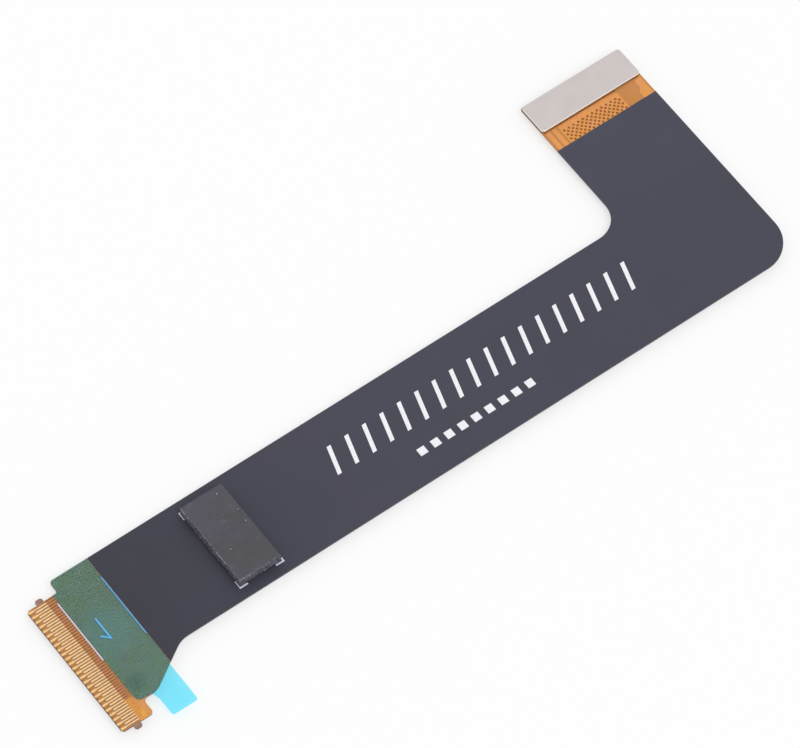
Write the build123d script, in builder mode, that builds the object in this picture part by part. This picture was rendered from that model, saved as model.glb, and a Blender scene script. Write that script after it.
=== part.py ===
from build123d import *
import os
from math import radians, sqrt, tan

os.makedirs("parts", exist_ok=True)

# Flat flex cable: a flexible printed circuit with a tail of gold contacts at one end and a
# small plug under a steel stiffener at the other. Millimetres.
# The origin is the middle of the tail's front edge, on the contact face. +X runs along the
# strip, +Y to the arm's end and +Z up, away from the plug.

# Contact tail
contact_count = 51
contact_pitch = 0.30
tail_length = 3.50
tip_cut = 0.25
bare_length = 2.04
ear_x = 1.58
ear_width = 0.78
ear_reach = 0.50
ear_cut = 0.16
front_pad_start = 0.04
front_pad_length = 0.56
front_pad_width = 0.36
rear_pad_gap = 0.06
rear_pad_length = 0.70
rear_pad_width = 0.28
neck_width = 0.15

# Outline of the head, the strip and the arm
strip_top = 9.20
strip_width = 12.21
head_bottom = -6.06
ledge_length = 1.60
taper_length = 4.83
arm_left = 70.45
arm_end = 25.74
shoulder_radius = 0.35
shoulder_root_radius = 0.30
notch_radius = 0.50
taper_radius = 2.00
taper_root_radius = 2.60
crook_radius = 2.80
corner_radius = 3.65
arm_end_cut = 0.20

# Thickness of each layer
copper_thickness = 0.03
base_thickness = 0.04
cover_thickness = 0.03
shield_thickness = 0.03
stiffener_thickness = 0.07
ink_thickness = 0.02
release_thickness = 0.05
glue_line = 0.002

# Reach of the layers
shield_gap = 0.05
clear_length = 2.44
head_stiffener = 3.50
seal_margin = 0.15
seal_clearance = 0.04
square_limit = 0.60

# Conductors
track_width = 0.08
edge_margin = 0.35
fan_top_inset = 0.15
fan_bottom_gap = 0.26
fan_angle = 60
inner_bend = 1.20
outer_bend = 2.60
via_gap = 0.60
shortest_run = 0.001

# Ground mesh and supply bars in the clear window of the arm
ground_lap = 0.79
ground_end_gap = 0.04
ground_radius = 0.50
mesh_pitch = 0.40
mesh_hole = 0.24
mesh_border = 0.15
mesh_top_border = 0.65
bar_margin = 0.23
bar_width = 0.50
bar_gap = 0.22
bar_end_margin = 0.35
right_bar_width = 0.80
right_bar_foot = 0.40
right_bar_rise = 1.21
bare_width = 1.70

# Steel stiffener on the top of the arm's end
steel_depth = 3.57
steel_thickness = 0.30
steel_radius = 0.35
steel_bevel = 0.05
steel_side_margin = 0.02
steel_end_margin = 0.13
bond_thickness = 0.04
bond_inset = 0.15

# Plug on the underside, below the steel
plug_pitch = 0.35
plug_columns = 25
plug_end_length = 1.00
plug_width = 1.50
plug_height = 0.65
plug_floor = 0.20
plug_wall = 0.36
plug_end_wall = 0.40
plug_guard = 0.12
plug_guard_length = 0.80
plug_corner_cut = 0.15
plug_lead_in = 0.06
plug_standoff = 0.03
contact_width = 0.16
contact_metal = 0.06
contact_foot = 0.24
solder_pad_width = 0.20
pad_overhang = 0.06
clip_metal = 0.08
clip_width = 1.00
clip_foot = 0.35
clip_depth = 0.60
window_clearance = 0.15
window_margin = 0.195

# Conductive foam pad on the strip
pad_x = 19.95
foam_shift = 0.10
foam_width = 4.80
foam_length = 9.75
foam_thickness = 1.10
tape_thickness = 0.06
tape_inset = 0.15

# Blue release film over the head, with its pull tab
release_front_gap = 0.015
release_rear_lap = 0.015
release_corner = 0.70
tab_width = 2.83
tab_step = 0.20
tab_reach = 3.04
tab_radius = 0.30
tab_flare = 0.40
tab_flare_length = 0.90
tab_flare_radius = 0.80

# White ink
guide_width = 0.12
guide_length = 7.40
guide_lead = 0.66
guide_spacing = 4.86
arrow_inset = 1.26
arrow_rise = 0.40
arrow_length = 2.56
arrow_width = 0.18
arrow_barb = 0.68
corner_mark_width = 0.16
corner_mark_leg = 0.85
corner_mark_lap = 0.02
stroke_count = 18
stroke_pitch = 2.04
stroke_width = 0.45
stroke_height = 3.10
stroke_lean = 0.90
stroke_x = 49.94
stroke_rise = 1.12
block_count = 9
block_pitch = 1.58
block_size = 0.85
block_x = 46.20
block_drop = 2.98

# Levels of the layers, from the contact face down and up
contact_face = 0.0
base_top = contact_face - copper_thickness
base_bottom = base_top - base_thickness
pad_face = base_bottom - copper_thickness
cover_top = contact_face + cover_thickness
cover_bottom = pad_face - cover_thickness
shield_top = cover_top + shield_thickness
shield_bottom = cover_bottom - shield_thickness
tail_bottom = cover_bottom - stiffener_thickness

# Places worked out from the sizes above
front_pad = (front_pad_start, front_pad_length, front_pad_width)
rear_pad = (front_pad_start + front_pad_length + rear_pad_gap, rear_pad_length, rear_pad_width)
tail_width = (contact_count + 1) * contact_pitch
half_tail = tail_width / 2
strip_bottom = strip_top - strip_width
strip_middle = strip_top - strip_width / 2
taper_start = tail_length + ledge_length
taper_end = taper_start + taper_length
fan_start_top = tail_length + fan_top_inset
fan_start_bottom = bare_length + fan_bottom_gap
lane_pitch = (strip_width - 2 * edge_margin) / (contact_count - 1)
plug_length = (plug_columns - 1) * plug_pitch + 2 * plug_end_length
window_width = plug_length + 2 * (clip_metal + clip_foot + window_clearance)
arm_width = window_width + 2 * window_margin
arm_right = arm_left + arm_width
arm_middle = arm_left + arm_width / 2
arm_lane_pitch = (arm_width - 2 * edge_margin) / (contact_count - 1)
steel_width = arm_width - 2 * steel_side_margin
steel_front = arm_end - steel_end_margin - steel_depth
plug_x = arm_middle
plug_y = steel_front + steel_depth / 2
plug_top = pad_face - plug_standoff
plug_rim = plug_top - plug_height
front_guide_x = tail_length - guide_lead
rear_guide_x = front_guide_x + guide_spacing
release_left = front_guide_x + guide_width / 2 + release_front_gap
release_right = rear_guide_x + guide_width / 2 + release_rear_lap
shield_start = release_right + shield_gap
shield_end = steel_front - clear_length
ground_left = arm_left + bar_margin + 2 * (bar_width + bar_gap)
ground_start = shield_end - ground_lap
ground_end = steel_front - ground_end_gap
right_bar_edge = arm_right - seal_margin - seal_clearance
via_row = ground_start - via_gap
mesh_step = mesh_pitch * sqrt(2)
mesh_half_hole = mesh_hole / sqrt(2)
mesh_field = right_bar_edge - right_bar_width - right_bar_foot - bare_width - ground_left
mesh_columns = int((mesh_field - 2 * (mesh_border + mesh_half_hole)) / mesh_step + 0.5)
mesh_rows = int((ground_end - mesh_top_border - shield_end) / (mesh_step / 2)) + 1
ground_width = (mesh_columns - 0.5) * mesh_step + 2 * (mesh_half_hole + mesh_border)


def track_outline(points, width):
    """Corners of a conductor of even width along a centre line, mitred at its bends."""
    path = [Vector(*points[0])]
    for point in points[1:]:
        if (Vector(*point) - path[-1]).length > shortest_run:
            path.append(Vector(*point))
    headings = [(end - start).normalized() for start, end in zip(path, path[1:])]
    left, right = [], []
    for place, before, after in zip(path, headings[:1] + headings, headings + headings[-1:]):
        across = (before + after).normalized().rotate(Axis.Z, 90)
        reach = width / 2 / across.dot(before.rotate(Axis.Z, 90))
        left.append(place + across * reach)
        right.insert(0, place - across * reach)
    return left + right


def contact_y(number):
    """Middle of a tail contact, counted from the strip's top side."""
    return ((contact_count - 1) / 2 - number) * contact_pitch


def fan_start(number):
    """Where a conductor leaves its straight neck and turns towards the strip."""
    return fan_start_top + (fan_start_bottom - fan_start_top) * number / (contact_count - 1)


def arm_lane(number):
    """Middle of the lane that a conductor takes along the arm."""
    return arm_left + edge_margin + number * arm_lane_pitch


# Outline that all the films share, corner by corner with its radius
corners = [
    ((0, half_tail - tip_cut), 0),
    ((tip_cut, half_tail), 0),
    ((tail_length, half_tail), shoulder_root_radius),
    ((tail_length, strip_top), shoulder_radius),
    ((arm_left, strip_top), crook_radius),
    ((arm_left, arm_end - arm_end_cut), 0),
    ((arm_left + arm_end_cut, arm_end), 0),
    ((arm_right - arm_end_cut, arm_end), 0),
    ((arm_right, arm_end - arm_end_cut), 0),
    ((arm_right, strip_bottom), corner_radius),
    ((taper_end, strip_bottom), taper_root_radius),
    ((taper_start, head_bottom), taper_radius),
    ((tail_length, head_bottom), notch_radius),
    ((tail_length, -half_tail), shoulder_radius),
    ((tip_cut, -half_tail), 0),
    ((0, tip_cut - half_tail), 0),
]
with BuildSketch() as outline:
    with BuildLine():
        FilletPolyline(*[point for point, _ in corners], radius=[r for _, r in corners], close=True)
    make_face()

# Pocket that the coverlays leave for the copper, square where the outline's corners are small
with BuildSketch() as pocket:
    with BuildLine():
        bends = [r if r > square_limit else 0 for _, r in corners]
        FilletPolyline(*[point for point, _ in corners], radius=bends, close=True)
    make_face()
    offset(amount=-seal_margin, kind=Kind.INTERSECTION)

# Ears on both sides of the tail, which lock it in its connector
with BuildSketch() as ears:
    with Locations((ear_x, half_tail), (ear_x, -half_tail)):
        Rectangle(ear_width, 2 * ear_reach)
    chamfer(ears.vertices(), length=ear_cut)

# Polyimide base film between the two copper layers
with BuildPart() as base_film:
    with BuildSketch(Plane.XY.offset(base_bottom)):
        add(outline.sketch)
        add(ears.sketch)
    extrude(amount=base_thickness)
base_film.part.label = "base_film"
export_step(base_film.part, "parts/base_film.step")

# Upper copper: two staggered rows of contacts, each with its conductor along strip and arm
with BuildPart() as contact_conductors:
    with BuildSketch(Plane.XY.offset(base_top)):
        strokes = []
        for number in range(contact_count):
            y = contact_y(number)
            lane_y = strip_top - edge_margin - number * lane_pitch
            lane_x = arm_lane(number)
            bend = inner_bend + (outer_bend - inner_bend) * number / (contact_count - 1)
            start = fan_start(number)
            fan_end = start + (lane_y - y) / tan(radians(fan_angle))
            route = [
                (bare_length, y),
                (start, y),
                (fan_end, lane_y),
                (lane_x - bend, lane_y),
                (lane_x, lane_y + bend),
                (lane_x, via_row),
            ]
            pad_start, pad_length, pad_width = rear_pad if number % 2 else front_pad
            pad = [(pad_start, y), (pad_start + pad_length, y)]
            neck = [(pad_start, y), (start + track_width / 2, y)]
            strokes += [(route, track_width), (neck, neck_width), (pad, pad_width)]
        add([Polygon(*track_outline(*stroke), align=None, mode=Mode.PRIVATE) for stroke in strokes])
    extrude(amount=copper_thickness)
contact_conductors.part.label = "contact_conductors"
export_step(contact_conductors.part, "parts/contact_conductors.step")

# Upper copper: ground mesh that shows in the clear window before the steel
with BuildPart() as ground_mesh:
    with BuildSketch(Plane.XY.offset(base_top)) as mesh_sketch:
        with Locations((ground_left, ground_start)):
            Rectangle(ground_width, ground_end - ground_start, align=Align.MIN)
        far_corner = mesh_sketch.vertices().sort_by_distance((ground_left + ground_width, ground_end))
        fillet(far_corner[0], radius=ground_radius)
        first_x = ground_left + mesh_border + mesh_half_hole
        first_y = ground_end - mesh_top_border - mesh_half_hole
        holes = [
            (first_x + (column + row % 2 / 2) * mesh_step, first_y - row * mesh_step / 2)
            for row in range(mesh_rows)
            for column in range(mesh_columns)
        ]
        with Locations(*holes):
            Rectangle(mesh_hole, mesh_hole, rotation=45, mode=Mode.SUBTRACT)
    extrude(amount=copper_thickness)
ground_mesh.part.label = "ground_mesh"
export_step(ground_mesh.part, "parts/ground_mesh.step")

# Upper copper: two supply bars left of the mesh and a stepped one at the arm's right edge
bar_end = arm_end - bar_end_margin
right_bar_step = shield_end + right_bar_rise
with BuildPart() as supply_bars:
    with BuildSketch(Plane.XY.offset(base_top)):
        for place in (1, 2):
            with Locations((ground_left - place * (bar_gap + bar_width), ground_start)):
                Rectangle(bar_width, bar_end - ground_start, align=Align.MIN)
        with BuildLine():
            FilletPolyline(
                (right_bar_edge, ground_start),
                (right_bar_edge, bar_end),
                (right_bar_edge - right_bar_width, bar_end),
                (right_bar_edge - right_bar_width, right_bar_step),
                (right_bar_edge - right_bar_width - right_bar_foot, right_bar_step - right_bar_foot),
                (right_bar_edge - right_bar_width - right_bar_foot, ground_start),
                radius=[0, 0, 0, right_bar_foot, right_bar_foot, 0],
                close=True,
            )
        make_face()
    extrude(amount=copper_thickness)
supply_bars.part.label = "supply_bars"
export_step(supply_bars.part, "parts/supply_bars.step")

# Lower copper: tracks from the row of vias to the plug's solder pads, and its two clip pads
foot_end = plug_width / 2 + contact_metal + contact_foot
solder_pad_start = plug_width / 2 - pad_overhang
solder_pad_length = foot_end + pad_overhang - solder_pad_start
clip_pad_start = plug_length / 2 - pad_overhang
clip_pad_length = clip_metal + clip_foot + 2 * pad_overhang
with BuildPart() as plug_tracks:
    with BuildSketch(Plane.XY.offset(pad_face)):
        routes = []
        for number in range(2 * plug_columns):
            column_x = plug_x + (number // 2 - (plug_columns - 1) / 2) * plug_pitch
            far_row = number % 2
            lane_x = column_x + far_row * plug_pitch / 2
            drift = abs(lane_x - arm_lane(number))
            route = [(arm_lane(number), via_row), (lane_x, via_row + drift)]
            if far_row:
                jog_end = plug_y + solder_pad_start + pad_overhang
                route.append((lane_x, jog_end - plug_pitch / 2))
                route.append((column_x, jog_end))
            else:
                route.append((column_x, plug_y - solder_pad_start - pad_overhang))
            routes.append(route)
        ground_x = arm_lane(contact_count - 1)
        routes.append([(ground_x, via_row), (ground_x, plug_y)])
        add([Polygon(*track_outline(route, track_width), align=None, mode=Mode.PRIVATE) for route in routes])
        for side in (-1, 1):
            with Locations((plug_x, plug_y + side * (solder_pad_start + solder_pad_length / 2))):
                with GridLocations(plug_pitch, 1, plug_columns, 1):
                    Rectangle(solder_pad_width, solder_pad_length)
            with Locations((plug_x + side * (clip_pad_start + clip_pad_length / 2), plug_y)):
                Rectangle(clip_pad_length, clip_width + 2 * pad_overhang)
    extrude(amount=copper_thickness)
plug_tracks.part.label = "plug_tracks"
export_step(plug_tracks.part, "parts/plug_tracks.step")

# Upper coverlay: seals on the base film round its edge and leaves the contacts bare
with BuildPart() as upper_coverlay:
    with BuildSketch(Plane.XY.offset(base_top + glue_line)):
        add(outline.sketch)
    extrude(amount=copper_thickness + cover_thickness - glue_line)
    with BuildSketch(Plane.XY.offset(base_top + glue_line)):
        add(pocket.sketch)
    extrude(amount=copper_thickness, mode=Mode.SUBTRACT)
    split(bisect_by=Plane.YZ.offset(bare_length), keep=Keep.TOP)
upper_coverlay.part.label = "upper_coverlay"
export_step(upper_coverlay.part, "parts/upper_coverlay.step")

# Lower coverlay: hollowed for the lower copper, with a window for the plug
copper_front = via_row - seal_margin
copper_back = arm_end - seal_margin
with BuildPart() as lower_coverlay:
    with BuildSketch(Plane.XY.offset(cover_bottom)):
        add(outline.sketch)
        add(ears.sketch)
    extrude(amount=cover_thickness + copper_thickness)
    with BuildSketch(Plane.XY.offset(pad_face)):
        with Locations((arm_middle, (copper_front + copper_back) / 2)):
            Rectangle(arm_width - 2 * seal_margin, copper_back - copper_front)
    extrude(amount=copper_thickness, mode=Mode.SUBTRACT)
    with BuildSketch(Plane.XY.offset(cover_bottom)):
        with Locations((plug_x, plug_y)):
            Rectangle(window_width, 2 * (foot_end + window_clearance))
    extrude(amount=cover_thickness + copper_thickness, mode=Mode.SUBTRACT)
lower_coverlay.part.label = "lower_coverlay"
export_step(lower_coverlay.part, "parts/lower_coverlay.step")

# Black shield films on both sides, from the head to the clear window of the arm
with BuildPart() as upper_shield_film:
    with BuildSketch(Plane.XY.offset(cover_top)):
        add(outline.sketch)
    extrude(amount=shield_thickness)
    split(bisect_by=Plane.YZ.offset(shield_start), keep=Keep.TOP)
    split(bisect_by=Plane.XZ.offset(-shield_end), keep=Keep.TOP)
upper_shield_film.part.label = "upper_shield_film"
export_step(upper_shield_film.part, "parts/upper_shield_film.step")

with BuildPart() as lower_shield_film:
    with BuildSketch(Plane.XY.offset(shield_bottom)):
        add(outline.sketch)
    extrude(amount=shield_thickness)
    split(bisect_by=Plane.YZ.offset(shield_start), keep=Keep.TOP)
    split(bisect_by=Plane.XZ.offset(-shield_end), keep=Keep.TOP)
lower_shield_film.part.label = "lower_shield_film"
export_step(lower_shield_film.part, "parts/lower_shield_film.step")

# Polyimide stiffener under the tail and the head
with BuildPart() as tail_stiffener:
    with BuildSketch(Plane.XY.offset(tail_bottom)):
        add(outline.sketch)
        add(ears.sketch)
    extrude(amount=stiffener_thickness)
    split(bisect_by=Plane.YZ.offset(tail_length + head_stiffener), keep=Keep.BOTTOM)
tail_stiffener.part.label = "tail_stiffener"
export_step(tail_stiffener.part, "parts/tail_stiffener.step")

# Steel stiffener and the bonding film that holds it over the plug
with BuildPart() as steel_bond_film:
    with BuildSketch(Plane.XY.offset(cover_top)):
        with Locations((plug_x, plug_y)):
            Rectangle(steel_width - 2 * bond_inset, steel_depth - 2 * bond_inset)
    extrude(amount=bond_thickness)
steel_bond_film.part.label = "steel_bond_film"
export_step(steel_bond_film.part, "parts/steel_bond_film.step")

with BuildPart() as steel_stiffener:
    with BuildSketch(Plane.XY.offset(cover_top + bond_thickness)):
        with Locations((plug_x, plug_y)):
            RectangleRounded(steel_width, steel_depth, steel_radius)
    extrude(amount=steel_thickness)
    chamfer(steel_stiffener.faces().sort_by(Axis.Z)[-1].edges(), length=steel_bevel)
steel_stiffener.part.label = "steel_stiffener"
export_step(steel_stiffener.part, "parts/steel_stiffener.step")

# Plug housing: a trough with a central slot, long walls for the contacts and taller ends
slot_width = plug_width - 2 * plug_wall
slot_length = plug_length - 2 * plug_end_wall
with BuildSketch() as plug_outline:
    with Locations((plug_x, plug_y)):
        Rectangle(plug_length, plug_width)
    chamfer(plug_outline.vertices(), length=plug_corner_cut)
with BuildPart() as plug_housing:
    with BuildSketch(Plane.XY.offset(plug_rim)):
        add(plug_outline.sketch)
    extrude(amount=plug_height)
    with BuildSketch(Plane.XY.offset(plug_rim - plug_guard)):
        add(plug_outline.sketch)
        with Locations((plug_x, plug_y)):
            Rectangle(plug_length - 2 * plug_guard_length, plug_width, mode=Mode.SUBTRACT)
    extrude(amount=plug_guard)
    chamfer(plug_housing.faces().group_by(Axis.Z)[0].edges(), length=plug_lead_in)
    with BuildSketch(Plane.XY.offset(plug_rim - plug_guard)):
        with Locations((plug_x, plug_y)):
            Rectangle(slot_length, slot_width)
    extrude(amount=plug_guard + plug_height - plug_floor, mode=Mode.SUBTRACT)
plug_housing.part.label = "plug_housing"
export_step(plug_housing.part, "parts/plug_housing.step")

# Plug contacts: each hooks over a long wall of the housing and ends in a solder foot
wall_out = plug_width / 2
wall_in = wall_out - plug_wall
contact_low = plug_standoff + plug_height + contact_metal
contact_places = [
    Plane(
        origin=(plug_x + (column - (plug_columns - 1) / 2) * plug_pitch, plug_y, pad_face),
        x_dir=(0, side, 0),
        z_dir=(side, 0, 0),
    )
    for side in (-1, 1)
    for column in range(plug_columns)
]
with BuildPart() as plug_contacts:
    with BuildSketch(*contact_places):
        with BuildLine():
            Polyline(
                (wall_out, 0),
                (foot_end, 0),
                (foot_end, -contact_metal),
                (wall_out + contact_metal, -contact_metal),
                (wall_out + contact_metal, -contact_low),
                (wall_in - contact_metal, -contact_low),
                (wall_in - contact_metal, -plug_standoff - plug_floor),
                (wall_in, -plug_standoff - plug_floor),
                (wall_in, -contact_low + contact_metal),
                (wall_out, -contact_low + contact_metal),
                close=True,
            )
        make_face()
    extrude(amount=contact_width / 2, both=True)
plug_contacts.part.label = "plug_contacts"
export_step(plug_contacts.part, "parts/plug_contacts.step")

# Two metal clips that hold the plug's ends down
clip_places = [
    Plane(
        origin=(plug_x + side * plug_length / 2, plug_y, pad_face),
        x_dir=(side, 0, 0),
        z_dir=(0, -side, 0),
    )
    for side in (-1, 1)
]
with BuildPart() as plug_clips:
    with BuildSketch(*clip_places):
        with BuildLine():
            Polyline(
                (0, 0),
                (clip_metal + clip_foot, 0),
                (clip_metal + clip_foot, -clip_metal),
                (clip_metal, -clip_metal),
                (clip_metal, -clip_depth),
                (0, -clip_depth),
                close=True,
            )
        make_face()
    extrude(amount=clip_width / 2, both=True)
plug_clips.part.label = "plug_clips"
export_step(plug_clips.part, "parts/plug_clips.step")

# Foam pad on its tape, a little off the middle of its corner marks
foam_x = pad_x - foam_shift
with BuildPart() as pad_tape:
    with BuildSketch(Plane.XY.offset(shield_top)):
        with Locations((foam_x, strip_middle)):
            Rectangle(foam_width - 2 * tape_inset, foam_length - 2 * tape_inset)
    extrude(amount=tape_thickness)
pad_tape.part.label = "pad_tape"
export_step(pad_tape.part, "parts/pad_tape.step")

with BuildPart() as foam_pad:
    with BuildSketch(Plane.XY.offset(shield_top + tape_thickness)):
        with Locations((foam_x, strip_middle)):
            Rectangle(foam_width, foam_length)
    extrude(amount=foam_thickness)
foam_pad.part.label = "foam_pad"
export_step(foam_pad.part, "parts/foam_pad.step")

# White ink: two guide lines across the head
with BuildSketch() as guide_shapes:
    with Locations((front_guide_x, strip_middle), (rear_guide_x, strip_middle)):
        Rectangle(guide_width, guide_length)
with BuildPart() as guide_lines:
    with BuildSketch(Plane.XY.offset(cover_top)):
        add(guide_shapes.sketch)
    extrude(amount=ink_thickness)
guide_lines.part.label = "guide_lines"
export_step(guide_lines.part, "parts/guide_lines.step")

# White ink: half arrow on the head that points to the contact side
with BuildSketch() as arrow_shape:
    arrow_x = tail_length + arrow_inset
    arrow_tip = strip_middle + arrow_rise - arrow_length
    barb_tip = (arrow_x - arrow_barb, arrow_tip + arrow_barb)
    route = [(arrow_x, arrow_tip + arrow_length), (arrow_x, arrow_tip), barb_tip]
    Polygon(*track_outline(route, arrow_width), align=None)
with BuildPart() as side_arrow:
    with BuildSketch(Plane.XY.offset(cover_top)):
        add(arrow_shape.sketch)
    extrude(amount=ink_thickness)
side_arrow.part.label = "side_arrow"
export_step(side_arrow.part, "parts/side_arrow.step")

# White ink: corner marks for the foam pad, which reach a little way under its edges
mark_x = foam_width / 2 - corner_mark_lap + corner_mark_width / 2
mark_y = foam_length / 2 - corner_mark_lap + corner_mark_width / 2
with BuildPart() as pad_corner_marks:
    with BuildSketch(Plane.XY.offset(shield_top)):
        for side_x in (-1, 1):
            for side_y in (-1, 1):
                route = [
                    (pad_x + side_x * (mark_x - corner_mark_leg), strip_middle + side_y * mark_y),
                    (pad_x + side_x * mark_x, strip_middle + side_y * mark_y),
                    (pad_x + side_x * mark_x, strip_middle + side_y * (mark_y - corner_mark_leg)),
                ]
                Polygon(*track_outline(route, corner_mark_width), align=None)
    extrude(amount=ink_thickness)
pad_corner_marks.part.label = "pad_corner_marks"
export_step(pad_corner_marks.part, "parts/pad_corner_marks.step")

# White ink: plain row of leaning strokes and a row of small blocks on the strip
with BuildPart() as printed_strokes:
    with BuildSketch(Plane.XY.offset(shield_top)):
        with Locations((stroke_x, strip_middle + stroke_rise)):
            with GridLocations(stroke_pitch, 1, stroke_count, 1):
                half_lean = stroke_lean / 2
                Polygon(
                    (-half_lean - stroke_width / 2, -stroke_height / 2),
                    (-half_lean + stroke_width / 2, -stroke_height / 2),
                    (half_lean + stroke_width / 2, stroke_height / 2),
                    (half_lean - stroke_width / 2, stroke_height / 2),
                    align=None,
                )
    extrude(amount=ink_thickness)
printed_strokes.part.label = "printed_strokes"
export_step(printed_strokes.part, "parts/printed_strokes.step")

with BuildPart() as printed_blocks:
    with BuildSketch(Plane.XY.offset(shield_top)):
        with Locations((block_x, strip_middle - block_drop)):
            with GridLocations(block_pitch, 1, block_count, 1):
                Rectangle(block_size, block_size)
    extrude(amount=ink_thickness)
printed_blocks.part.label = "printed_blocks"
export_step(printed_blocks.part, "parts/printed_blocks.step")

# Release film: covers the head, hollowed where it lies on ink, with a tab past the edge
tab_right = release_right - tab_step
tab_left = tab_right - tab_width
tab_end = head_bottom - tab_reach
with BuildPart() as release_film:
    with BuildSketch(Plane.XY.offset(cover_top + glue_line)) as release_sketch:
        with Locations((release_left, head_bottom)):
            Rectangle(release_right - release_left, strip_top - head_bottom, align=Align.MIN)
        near_corner = release_sketch.vertices().sort_by_distance((release_left, head_bottom))
        fillet(near_corner[0], radius=release_corner)
        add(outline.sketch, mode=Mode.INTERSECT)
        with BuildLine():
            FilletPolyline(
                (tab_left - tab_flare, head_bottom + tab_flare),
                (tab_left, head_bottom - tab_flare_length),
                (tab_left, tab_end),
                (tab_right, tab_end),
                (tab_right, strip_bottom - release_corner),
                radius=[0, tab_flare_radius, tab_radius, tab_radius, 0],
                close=True,
            )
        make_face()
    extrude(amount=release_thickness)
    with BuildSketch(Plane.XY.offset(cover_top + glue_line)):
        add(guide_shapes.sketch)
        add(arrow_shape.sketch)
    extrude(amount=ink_thickness, mode=Mode.SUBTRACT)
release_film.part.label = "release_film"
export_step(release_film.part, "parts/release_film.step")
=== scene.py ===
from math import cos, radians, sin

import bmesh
import bpy
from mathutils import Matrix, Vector, noise


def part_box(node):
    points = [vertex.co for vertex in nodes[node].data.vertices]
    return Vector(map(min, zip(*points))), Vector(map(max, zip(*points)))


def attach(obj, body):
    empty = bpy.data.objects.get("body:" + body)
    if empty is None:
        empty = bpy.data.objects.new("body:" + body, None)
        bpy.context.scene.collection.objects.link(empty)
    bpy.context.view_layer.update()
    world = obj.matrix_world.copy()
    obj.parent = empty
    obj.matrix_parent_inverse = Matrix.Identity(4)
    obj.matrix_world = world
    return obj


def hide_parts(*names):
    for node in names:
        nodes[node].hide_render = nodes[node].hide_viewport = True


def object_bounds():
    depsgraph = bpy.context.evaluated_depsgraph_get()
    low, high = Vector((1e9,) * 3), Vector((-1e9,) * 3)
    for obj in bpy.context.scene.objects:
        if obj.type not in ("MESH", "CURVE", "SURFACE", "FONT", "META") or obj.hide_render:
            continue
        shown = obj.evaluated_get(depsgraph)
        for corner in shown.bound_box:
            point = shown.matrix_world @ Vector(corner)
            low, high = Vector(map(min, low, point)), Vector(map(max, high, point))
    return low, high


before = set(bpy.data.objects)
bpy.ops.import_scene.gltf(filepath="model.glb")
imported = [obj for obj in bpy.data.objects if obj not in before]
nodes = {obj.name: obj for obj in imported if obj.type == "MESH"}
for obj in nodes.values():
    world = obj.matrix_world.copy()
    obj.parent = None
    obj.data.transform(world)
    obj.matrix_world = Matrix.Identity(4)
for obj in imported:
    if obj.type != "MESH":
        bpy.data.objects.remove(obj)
cad_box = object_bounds()
MM = 0.001

# The photograph's view: a long lens, well above the cable, with the strip rising to the right
IMAGE_WIDTH = 800
FOCAL_PIXELS = 6200
SENSOR = 36
AZIMUTH = radians(36.17)
ELEVATION = radians(58.65)
AIM = Vector((43.2, 8.23, 0)) * MM
DISTANCE = 588 * MM

# Places on the cable where its finishes change, in millimetres
BARE_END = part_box("upper_coverlay")[0].x / MM
HEAD_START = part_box("release_film")[0].x / MM
SHIELD_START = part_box("upper_shield_film")[0].x / MM
SHIELD_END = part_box("upper_shield_film")[1].y / MM
STEEL_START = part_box("steel_stiffener")[0].y / MM
MESH_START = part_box("ground_mesh")[0].x / MM
MESH_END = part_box("ground_mesh")[1].x / MM
HALF_TAIL = 7.8
CONTACT_PITCH = 0.3
FRONT_ROW = 0.62
TIP_EDGE = 0.12
LOBE_TOP = -5.2
HEAD_BOTTOM = -6.06
TAPER_START = 5.1
TAPER_RISE = 0.63
MESH_BORDER = 0.1

# Plain white studio: its even light, its one lamp, and its floor's glow and gap below the plug
AMBIENT = 0.72
LAMP_STRENGTH = 1.05
LAMP_SPREAD = radians(40)
LAMP_DIRECTION = Vector((0.05, 0.62, -1))
FLOOR_GLOW = 0.62
FLOOR_GAP = 0.02 * MM


def add_camera():
    """Camera at the photograph's angle, far off and with a long lens, as the photograph's was."""
    data = bpy.data.cameras.new("camera")
    data.sensor_width = SENSOR
    data.lens = FOCAL_PIXELS / IMAGE_WIDTH * SENSOR
    camera = bpy.data.objects.new("camera", data)
    bpy.context.scene.collection.objects.link(camera)
    look = Vector((sin(AZIMUTH) * cos(ELEVATION), cos(AZIMUTH) * cos(ELEVATION), -sin(ELEVATION)))
    camera.location = AIM - look * DISTANCE
    camera.rotation_mode = "QUATERNION"
    camera.rotation_quaternion = look.to_track_quat("-Z", "Y")
    bpy.context.scene.camera = camera


def colour(red, green, blue):
    """Linear colour of a screen colour from 0 to 255."""
    def linear(value):
        value /= 255
        return value / 12.92 if value <= 0.04045 else ((value + 0.055) / 1.055) ** 2.4

    return (linear(red), linear(green), linear(blue), 1)


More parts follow.
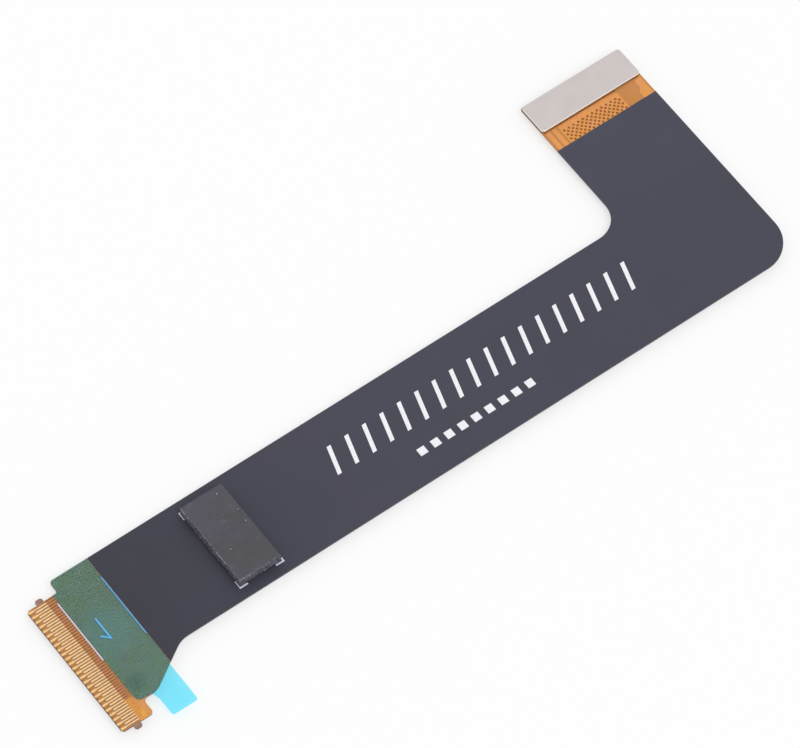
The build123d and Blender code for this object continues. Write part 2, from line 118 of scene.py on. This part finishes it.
class Finish:
    """Shader nodes of a material or a world: each method adds nodes and returns their output."""

    def __init__(self, owner):
        self.owner = owner
        owner.use_nodes = True
        self.tree = owner.node_tree
        self.tree.nodes.clear()
        self.place = self.node("ShaderNodeTexCoord").outputs["Object"]

    def node(self, kind, inputs=None, **settings):
        """A node with its settings and its inputs, which are values or other nodes' outputs."""
        made = self.tree.nodes.new(kind)
        for name, value in settings.items():
            setattr(made, name, value)
        for name, value in (inputs or {}).items():
            if isinstance(value, bpy.types.NodeSocket):
                self.tree.links.new(value, made.inputs[name])
            else:
                made.inputs[name].default_value = value
        return made

    def math(self, operation, one, two=0.0):
        return self.node("ShaderNodeMath", {0: one, 1: two}, operation=operation).outputs[0]

    def axis(self, letter):
        """The X, Y or Z of the shaded point, in millimetres."""
        split = self.node("ShaderNodeSeparateXYZ", {"Vector": self.place})
        return self.math("MULTIPLY", split.outputs[letter], 1 / MM)

    def upward(self):
        """How far the surface faces up: 1 on a top, 0 on a side and -1 underneath."""
        facing = self.node("ShaderNodeNewGeometry").outputs["Normal"]
        return self.node("ShaderNodeSeparateXYZ", {"Vector": facing}).outputs["Z"]

    def side(self):
        """1 on a side face and 0 on a top or an underside."""
        return self.ramp(self.math("ABSOLUTE", self.upward()), 0.3, 0.7, 1, 0)

    def ramp(self, value, low, high, start=0.0, end=1.0):
        """value's climb from low to high as a number from start to end, held outside them."""
        ends = {"Value": value, "From Min": low, "From Max": high, "To Min": start, "To Max": end}
        return self.node("ShaderNodeMapRange", ends).outputs["Result"]

    def noise(self, size, detail=2.0, stretch=(1, 1, 1)):
        """Noise from 0 to 1 whose lumps are about size millimetres across."""
        scaled = self.node("ShaderNodeMapping", {"Vector": self.place, "Scale": stretch})
        inputs = {"Vector": scaled.outputs[0], "Scale": 1 / (size * MM), "Detail": detail}
        return self.node("ShaderNodeTexNoise", inputs).outputs["Fac"]

    def cells(self, size):
        """Distance to the nearest of scattered points about size millimetres apart."""
        inputs = {"Vector": self.place, "Scale": 1 / (size * MM)}
        return self.node("ShaderNodeTexVoronoi", inputs).outputs["Distance"]

    def patch(self, x, y, radius):
        """1 at a spot of the cable's plan, falling softly to 0 at radius millimetres from it."""
        across = self.math("POWER", self.math("SUBTRACT", self.axis("X"), x), 2)
        along = self.math("POWER", self.math("SUBTRACT", self.axis("Y"), y), 2)
        away = self.math("SQRT", self.math("ADD", across, along))
        return self.ramp(away, radius * 0.4, radius, 1, 0)

    def mix(self, share, one, two):
        """Colour one where share is 0 and colour two where it is 1."""
        return self.node("ShaderNodeMix", {0: share, 6: one, 7: two}, data_type="RGBA").outputs[2]

    def speckle(self, base, amount, size):
        """base, lighter and darker by amount in lumps of about size millimetres."""
        dark = tuple(channel * (1 - amount) for channel in base[:3]) + (1,)
        light = tuple(min(1, channel * (1 + amount)) for channel in base[:3]) + (1,)
        return self.mix(self.ramp(self.noise(size, detail=4), 0.3, 0.7), dark, light)

    def shade(self, base, factor):
        """Colour base times a number."""
        grey = self.node("ShaderNodeCombineColor", {0: factor, 1: factor, 2: factor}).outputs[0]
        settings = {"data_type": "RGBA", "blend_type": "MULTIPLY"}
        return self.node("ShaderNodeMix", {0: 1.0, 6: base, 7: grey}, **settings).outputs[2]

    def bump(self, height, distance):
        """Normal of a surface raised by height times distance millimetres."""
        return self.node("ShaderNodeBump", {"Height": height, "Distance": distance * MM}).outputs["Normal"]

    def surface(self, **inputs):
        """Principled shader with these inputs; underscores stand for the spaces in their names."""
        named = {name.replace("_", " "): value for name, value in inputs.items()}
        return self.node("ShaderNodeBsdfPrincipled", named).outputs[0]

    def see_through(self, tint, share, body):
        """body over what lies behind, which tint colours; share is the body's part."""
        clear = self.node("ShaderNodeBsdfTransparent", {"Color": tint}).outputs[0]
        return self.node("ShaderNodeMixShader", {"Fac": share, 1: clear, 2: body}).outputs[0]

    def seen_directly(self):
        """1 for rays from the camera, a reflection or a clear film, and 0 for light that falls."""
        rays = self.node("ShaderNodeLightPath").outputs
        seen = self.math("MAXIMUM", rays["Is Camera Ray"], rays["Is Glossy Ray"])
        return self.math("MAXIMUM", seen, rays["Is Transmission Ray"])

    def done(self, shader):
        """The material or world, with shader as its surface."""
        is_world = isinstance(self.owner, bpy.types.World)
        kind = "ShaderNodeOutputWorld" if is_world else "ShaderNodeOutputMaterial"
        self.tree.links.new(shader, self.node(kind).inputs["Surface"])
        return self.owner


def finish(name):
    return Finish(bpy.data.materials.new(name))


def in_shield(f):
    """1 where the shield films cover the laminate, 0 on the head and in the clear window."""
    past_head = f.math("GREATER_THAN", f.axis("X"), SHIELD_START)
    before_window = f.math("LESS_THAN", f.axis("Y"), SHIELD_END)
    return f.math("MULTIPLY", past_head, before_window)


def shield_film():
    """Black shield film: satin and finely grained, with painted shade darkening it towards the head and
    painted light brightening it towards the window.
    """
    f = finish("shield_film")
    # Painted shade towards the head and painted light towards the window
    painted_shade_to_head = f.ramp(f.axis("X"), 8, 34, 0.66, 1.0)
    painted_light_to_window = f.ramp(f.axis("Y"), 6, 19, 1.0, 1.10)
    tone = f.speckle(colour(61, 60, 74), 0.06, 9)
    tone = f.mix(f.ramp(f.noise(14), 0.35, 0.65, 0, 0.5), tone, colour(55, 62, 74))
    # The tone takes the painted shade and painted light
    tone = f.shade(tone, f.math("MULTIPLY", painted_shade_to_head, painted_light_to_window))
    sheen = f.ramp(f.noise(6), 0.3, 0.7, 0.46, 0.56)
    grain = f.bump(f.noise(0.12, 3), 0.006)
    return f.done(f.surface(Base_Color=tone, Roughness=sheen, Specular_IOR_Level=0.38, Normal=grain))


def clear_coverlay():
    """Clear amber coverlay, which the copper shows through; its cut edge is dark under the shield."""
    f = finish("clear_coverlay")
    drift = f.ramp(f.noise(1.6, 3), 0.38, 0.62)
    tint = f.mix(drift, (0.958, 0.889, 0.744, 1), (0.967, 0.893, 0.800, 1))
    tone = f.mix(in_shield(f), colour(224, 168, 98), colour(58, 52, 56))
    share = f.ramp(in_shield(f), 0, 1, 0.05, 1.0)
    body = f.surface(Base_Color=tone, Roughness=0.3, Normal=f.bump(f.noise(1.5), 0.01))
    return f.done(f.see_through(tint, share, body))


def backing_polyimide():
    """Base film: brown on the bare tail and its ears, amber below the coverlay, darkened by painted shade
    in the ground mesh's holes, dark at cut edges.
    """
    f = finish("backing_polyimide")
    x = f.axis("X")
    y = f.axis("Y")
    window = f.speckle(colour(214, 168, 132), 0.05, 2.5)
    # Painted shade in the ground mesh's holes
    painted_shade_under_mesh = f.speckle(colour(160, 108, 74), 0.12, 0.6)
    head = f.speckle(colour(236, 190, 160), 0.04, 2.0)
    lobe = f.speckle(colour(254, 205, 124), 0.06, 0.8)
    band = f.speckle(colour(148, 110, 110), 0.16, 0.5)
    bare = f.speckle(colour(176, 120, 70), 0.12, 0.5)
    brown = f.speckle(colour(112, 78, 64), 0.20, 0.3)
    ear = f.speckle(colour(146, 114, 98), 0.20, 0.3)
    past_mesh = f.math("GREATER_THAN", x, MESH_END - MESH_BORDER)
    before_mesh = f.math("LESS_THAN", x, MESH_START + MESH_BORDER)
    window = f.mix(f.math("MAXIMUM", past_mesh, before_mesh), painted_shade_under_mesh, window)
    tone = f.mix(f.math("GREATER_THAN", x, SHIELD_START), head, window)
    before_film = f.math("LESS_THAN", x, HEAD_START)
    in_band = f.math("GREATER_THAN", y, LOBE_TOP)
    tone = f.mix(before_film, tone, f.mix(in_band, lobe, band))
    on_tail = f.math("LESS_THAN", x, BARE_END)
    tone = f.mix(on_tail, tone, bare)
    on_ear = f.ramp(f.math("ABSOLUTE", y), HALF_TAIL - 0.1, HALF_TAIL + 0.05)
    tone = f.mix(f.math("MULTIPLY", on_ear, on_tail), tone, ear)
    tone = f.mix(f.math("LESS_THAN", x, TIP_EDGE), tone, brown)
    by_steel = f.math("GREATER_THAN", y, STEEL_START)
    cut = f.mix(by_steel, brown, colour(108, 98, 92))
    cut = f.mix(in_shield(f), cut, colour(52, 47, 52))
    return f.done(f.surface(Base_Color=f.mix(f.side(), tone, cut), Roughness=0.4))


def lower_polyimide():
    """Amber coverlay of the underside, dark at its cut edge."""
    f = finish("lower_polyimide")
    tone = f.speckle(colour(186, 118, 54), 0.06, 2.5)
    cut = f.mix(in_shield(f), colour(112, 72, 48), colour(50, 46, 52))
    return f.done(f.surface(Base_Color=f.mix(f.side(), tone, cut), Roughness=0.33))


def stiffener_brown():
    """Thick brown polyimide of the tail's stiffener."""
    f = finish("stiffener_brown")
    tone = f.speckle(colour(104, 70, 52), 0.12, 1.2)
    return f.done(f.surface(Base_Color=tone, Roughness=0.42, Normal=f.bump(f.noise(0.3, 3), 0.004)))


def gold_and_copper():
    """Conductors: gold on the bare contacts, with a painted highlight along their middles and painted
    shade towards and on their sides, copper behind.
    """
    f = finish("gold_and_copper")
    x = f.axis("X")
    y = f.axis("Y")
    # Distance from a contact's centre line: in the front row, only from the front row's
    from_rear = f.math("PINGPONG", y, CONTACT_PITCH)
    from_front = f.math("SUBTRACT", CONTACT_PITCH, from_rear)
    in_front = f.math("LESS_THAN", x, FRONT_ROW)
    nearest = f.math("MINIMUM", from_rear, from_front)
    across = f.math("MAXIMUM", nearest, f.math("MULTIPLY", in_front, from_front))
    # Painted highlight along each contact's middle, fading to painted shade towards its sides
    painted_highlight_and_shade = f.ramp(across, 0.0, 0.12)
    rear_gold = f.mix(painted_highlight_and_shade, colour(255, 230, 180), colour(200, 138, 88))
    front_gold = f.mix(painted_highlight_and_shade, colour(255, 230, 166), colour(214, 156, 96))
    gold = f.mix(in_front, rear_gold, front_gold)
    gold = f.shade(gold, f.ramp(f.noise(0.35, 3), 0.3, 0.7, 0.84, 1.03))
    plain_copper = colour(240, 192, 158)
    copper = f.speckle(plain_copper, 0.04, 1.2)
    band = f.speckle(colour(208, 168, 146), 0.08, 0.4)
    before_film = f.math("LESS_THAN", x, HEAD_START)
    in_band = f.math("MULTIPLY", before_film, f.math("GREATER_THAN", y, LOBE_TOP))
    copper = f.mix(in_band, copper, band)
    tone = f.mix(f.math("GREATER_THAN", x, BARE_END), gold, copper)
    # Painted shade on the conductors' sides, except below the blue film, where the gaps between the
    # conductors hardly show and the sides stay plain copper
    under_film = f.math("GREATER_THAN", x, HEAD_START)
    tone = f.mix(f.side(), tone, f.mix(under_film, colour(150, 96, 56), plain_copper))
    grain = f.noise(0.14, 2, stretch=(0.25, 1, 1))
    return f.done(f.surface(Base_Color=tone, Metallic=1.0, Roughness=0.38, Normal=f.bump(grain, 0.002)))


def etched_copper():
    """Etched copper of the mesh and the bars."""
    f = finish("etched_copper")
    tone = f.mix(f.side(), f.speckle(colour(244, 196, 154), 0.05, 0.9), colour(128, 70, 36))
    grain = f.bump(f.noise(0.06), 0.002)
    return f.done(f.surface(Base_Color=tone, Metallic=1.0, Roughness=0.38, Normal=grain))


def rolled_steel():
    """Stainless sheet: smooth and pale, with a painted highlight on its bevel; its sheared sides are dull,
    with a painted highlight on their upper half and painted shade on their lower half.
    """
    f = finish("rolled_steel")
    up = f.upward()
    low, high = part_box("steel_stiffener")
    middle = (low.z + high.z) / (2 * MM)
    face = f.speckle(colour(204, 197, 195), 0.03, 2.2)
    # Painted highlight on the bevel
    tone = f.mix(f.ramp(up, 0.75, 0.95), colour(230, 224, 219), face)
    # Sheared sides: painted highlight on the upper half, painted shade on the lower half
    highlight_over_shade = f.ramp(f.axis("Z"), middle - 0.06, middle)
    sheared_painted_light_and_shade = f.mix(highlight_over_shade, colour(96, 88, 82), colour(210, 202, 196))
    tone = f.mix(f.ramp(up, 0.3, 0.6), sheared_painted_light_and_shade, tone)
    lines = f.noise(0.06, 3, stretch=(0.05, 1, 1))
    metal = f.ramp(up, 0.3, 0.6, 0.25, 1.0)
    sheen = f.ramp(lines, 0.3, 0.7, 0.34, 0.42)
    grain = f.bump(lines, 0.0012)
    return f.done(f.surface(Base_Color=tone, Metallic=metal, Roughness=sheen, Normal=grain))


def bond_film():
    """Bonding film at the edge of the steel and of the pad's tape."""
    f = finish("bond_film")
    return f.done(f.surface(Base_Color=f.speckle(colour(92, 80, 70), 0.1, 0.6), Roughness=0.6))


def moulded_black():
    """Moulded housing of the plug: matt black with a fine grain."""
    f = finish("moulded_black")
    tone = f.speckle(colour(46, 46, 48), 0.12, 0.5)
    return f.done(f.surface(Base_Color=tone, Roughness=0.5, Normal=f.bump(f.noise(0.04), 0.003)))


def ink(name, base):
    """Screen printed ink: nearly even, with a faintly pitted surface."""
    f = finish(name)
    tone = f.speckle(base, 0.05, 0.25)
    return f.done(f.surface(Base_Color=tone, Roughness=0.62, Normal=f.bump(f.noise(0.07, 3), 0.004)))


def blue_film():
    """Thin blue release film: it tints what lies below, unevenly where it clings."""
    f = finish("blue_film")
    # Spots where it clings more or less than elsewhere: place and radius, in millimetres
    centre_spot = (5.0, 1.6, 3.6)
    upper_spot = (4.6, 8.4, 4.2)
    dark_spot = (3.9, -4.3, 1.3)
    cling = f.ramp(f.noise(2.6, 2), 0.40, 0.60)
    tint = f.mix(cling, (0.672, 0.888, 0.990, 1), (0.668, 0.908, 1.0, 1))
    middle = f.patch(*centre_spot)
    tint = f.mix(middle, tint, (0.650, 0.930, 1.0, 1))
    tint = f.mix(f.patch(*upper_spot), tint, (0.670, 0.906, 0.986, 1))
    tint = f.mix(f.patch(*dark_spot), tint, (0.618, 0.858, 0.930, 1))
    # Past the laminate's slanted edge only the tab is left, and nothing lies behind it
    past_start = f.math("MAXIMUM", f.math("SUBTRACT", f.axis("X"), TAPER_START), 0.0)
    laminate_edge = f.math("ADD", f.math("MULTIPLY", past_start, TAPER_RISE), HEAD_BOTTOM)
    tab = f.math("LESS_THAN", f.axis("Y"), laminate_edge)
    tint = f.mix(tab, tint, (0.552, 0.932, 1.0, 1))
    tone = f.mix(tab, f.mix(middle, (0.10, 0.36, 0.62, 1), (0.22, 0.36, 1.0, 1)), (0.12, 0.72, 1.0, 1))
    edge = f.math("MULTIPLY", f.side(), f.math("SUBTRACT", 1.0, tab))
    tone = f.mix(edge, tone, colour(116, 112, 92))
    share = f.ramp(edge, 0, 1, 0.05, 0.8)
    body = f.surface(Base_Color=tone, Roughness=0.25, Normal=f.bump(f.noise(1.8), 0.04))
    return f.done(f.see_through(tint, share, body))


def foam_cloth():
    """Black conductive foam: a creased matt skin on top, open cells on its sides with painted shade in
    their hollows, pale torn rims.
    """
    f = finish("foam_cloth")
    low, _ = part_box("foam_pad")
    skin = f.mix(f.ramp(f.noise(3.0, 2), 0.4, 0.6), colour(80, 80, 84), colour(84, 81, 92))
    skin = f.shade(skin, f.ramp(f.noise(0.8, 4), 0.3, 0.7, 0.94, 1.06))
    creases = f.ramp(f.noise(0.5, 3, stretch=(0.4, 1, 1)), 0.60, 0.66, 0, 0.25)
    skin = f.mix(creases, skin, colour(104, 104, 110))
    skin = f.mix(f.ramp(f.cells(1.5), 0.035, 0.055, 1, 0), skin, colour(160, 160, 168))
    from_left = f.math("SUBTRACT", f.axis("X"), low.x / MM)
    from_near = f.math("SUBTRACT", f.axis("Y"), low.y / MM)
    rim = f.ramp(f.math("MINIMUM", from_left, from_near), 0.06, 0.17, 1, 0)
    torn = f.math("MULTIPLY", rim, f.ramp(f.noise(0.16, 3), 0.42, 0.6))
    skin = f.mix(torn, skin, colour(138, 138, 150))
    # Open cells: hollows near-black with painted shade, walls grey
    pores_with_painted_shade = f.mix(f.ramp(f.cells(0.20), 0.15, 0.55), colour(16, 16, 20), colour(98, 96, 108))
    pores_with_painted_shade = f.mix(f.ramp(f.noise(0.22, 3), 0.60, 0.68), pores_with_painted_shade, colour(140, 140, 152))
    tone = f.mix(f.ramp(f.upward(), 0.45, 0.8), pores_with_painted_shade, skin)
    fibre = f.bump(f.noise(0.06, 4), 0.012)
    return f.done(f.surface(Base_Color=tone, Roughness=0.85, Specular_IOR_Level=0.3, Normal=fibre))


def dress_nodes():
    """Gives every CAD node its finish."""
    gold = gold_and_copper()
    copper = etched_copper()
    shield = shield_film()
    bond = bond_film()
    print_ink = ink("white_ink", colour(240, 240, 245))
    mark_ink = ink("mark_ink", colour(222, 216, 232))
    finishes = {
        "base_film": backing_polyimide(),
        "contact_conductors": gold,
        "plug_tracks": gold,
        "plug_contacts": gold,
        "plug_clips": gold,
        "ground_mesh": copper,
        "supply_bars": copper,
        "upper_coverlay": clear_coverlay(),
        "lower_coverlay": lower_polyimide(),
        "upper_shield_film": shield,
        "lower_shield_film": shield,
        "tail_stiffener": stiffener_brown(),
        "steel_bond_film": bond,
        "pad_tape": bond,
        "steel_stiffener": rolled_steel(),
        "plug_housing": moulded_black(),
        "guide_lines": mark_ink,
        "side_arrow": mark_ink,
        "pad_corner_marks": mark_ink,
        "printed_strokes": print_ink,
        "printed_blocks": print_ink,
        "release_film": blue_film(),
    }
    for name, material in finishes.items():
        mesh = nodes[name].data
        mesh.materials.clear()
        mesh.materials.append(material)


def block_grid(low, high, step):
    """Closed box of small faces, about step across, as a bmesh."""
    size = high - low
    counts = [round(extent / step) for extent in size]
    shape = bmesh.new()
    corners = {}

    def corner(place):
        if place not in corners:
            at = [low[n] + size[n] * place[n] / counts[n] for n in range(3)]
            corners[place] = shape.verts.new(at)
        return corners[place]

    for normal in range(3):
        first = (normal + 1) % 3
        second = (normal + 2) % 3
        for i in range(counts[first]):
            for j in range(counts[second]):
                for face_side in (0, counts[normal]):
                    loop = []
                    for step_i, step_j in ((0, 0), (1, 0), (1, 1), (0, 1)):
                        place = [face_side] * 3
                        place[first] = i + step_i
                        place[second] = j + step_j
                        loop.append(corner(tuple(place)))
                    shape.faces.new(loop if face_side else loop[::-1])
    return shape


def foam_pad():
    """The foam pad: cut from a sheet, so its skin is nearly flat and its sides are ragged."""
    low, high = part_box("foam_pad")
    step = 0.075 * MM
    inset = 0.06 * MM
    ragged_size = 0.3 * MM
    ragged_depth = 0.08 * MM
    wander_size = 1.9 * MM
    wander_depth = 0.06 * MM
    wander_seed = Vector((7, 3, 1))
    edge_round = 0.14 * MM
    dent_size = 1.6 * MM
    dent_depth = 0.02 * MM
    shape = block_grid(low, high, step)
    middle = (low + high) / 2
    for vertex in shape.verts:
        at = vertex.co.copy()
        gap_x = min(at.x - low.x, high.x - at.x)
        gap_y = min(at.y - low.y, high.y - at.y)
        out = Vector((0, 0, 0))
        if gap_x < step / 2:
            out.x = 1 if at.x > middle.x else -1
        if gap_y < step / 2:
            out.y = 1 if at.y > middle.y else -1
        ragged = noise.fractal(at / ragged_size, 1.0, 2.0, 4)
        wander = noise.noise(at / wander_size + wander_seed)
        vertex.co -= out * max(0, inset + ragged_depth * ragged + wander_depth * wander)
        if high.z - at.z < step / 2:
            rounding = max(0, 1 - min(gap_x, gap_y) / edge_round) ** 2
            dents = noise.fractal(at / dent_size, 1.0, 2.0, 3)
            vertex.co.z -= edge_round * rounding / 2 + dent_depth * (1 + dents)
    mesh = bpy.data.meshes.new("foam_pad_block")
    shape.normal_update()
    shape.to_mesh(mesh)
    shape.free()
    mesh.polygons.foreach_set("use_smooth", [True] * len(mesh.polygons))
    mesh.materials.append(foam_cloth())
    pad = bpy.data.objects.new("foam_pad_block", mesh)
    bpy.context.scene.collection.objects.link(pad)
    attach(pad, "root")
    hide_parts("foam_pad")


def floor():
    """Plain white floor under the plug, which keeps the cable's soft shadow."""
    half = 3.0
    height = cad_box[0].z - FLOOR_GAP
    corners = [(-half, -half, height), (half, -half, height), (half, half, height), (-half, half, height)]
    mesh = bpy.data.meshes.new("floor")
    mesh.from_pydata(corners, [], [(0, 1, 2, 3)])
    f = finish("floor")
    paint = f.node("ShaderNodeBsdfDiffuse", {"Color": (0.97, 0.97, 0.975, 1)}).outputs[0]
    white = f.node("ShaderNodeEmission", {"Color": (1, 1, 1, 1), "Strength": 1.0}).outputs[0]
    share = f.math("MULTIPLY", f.seen_directly(), FLOOR_GLOW)
    surface = f.node("ShaderNodeMixShader", {"Fac": share, 1: paint, 2: white}).outputs[0]
    mesh.materials.append(f.done(surface))
    plane = bpy.data.objects.new("floor", mesh)
    bpy.context.scene.collection.objects.link(plane)


def light():
    """Even pale surroundings, white where they are seen, and one broad soft lamp from the near side."""
    f = Finish(bpy.data.worlds.new("studio"))
    strength = f.ramp(f.seen_directly(), 0, 1, AMBIENT, 1.0)
    sky = f.node("ShaderNodeBackground", {"Color": (1, 1, 1, 1), "Strength": strength})
    bpy.context.scene.world = f.done(sky.outputs[0])
    data = bpy.data.lights.new("key", "SUN")
    data.energy = LAMP_STRENGTH
    data.angle = LAMP_SPREAD
    lamp = bpy.data.objects.new("key", data)
    bpy.context.scene.collection.objects.link(lamp)
    lamp.rotation_mode = "QUATERNION"
    lamp.rotation_quaternion = LAMP_DIRECTION.to_track_quat("-Z", "Y")


add_camera()
dress_nodes()
foam_pad()
floor()
light()
bpy.context.scene.view_settings.view_transform = "Standard"
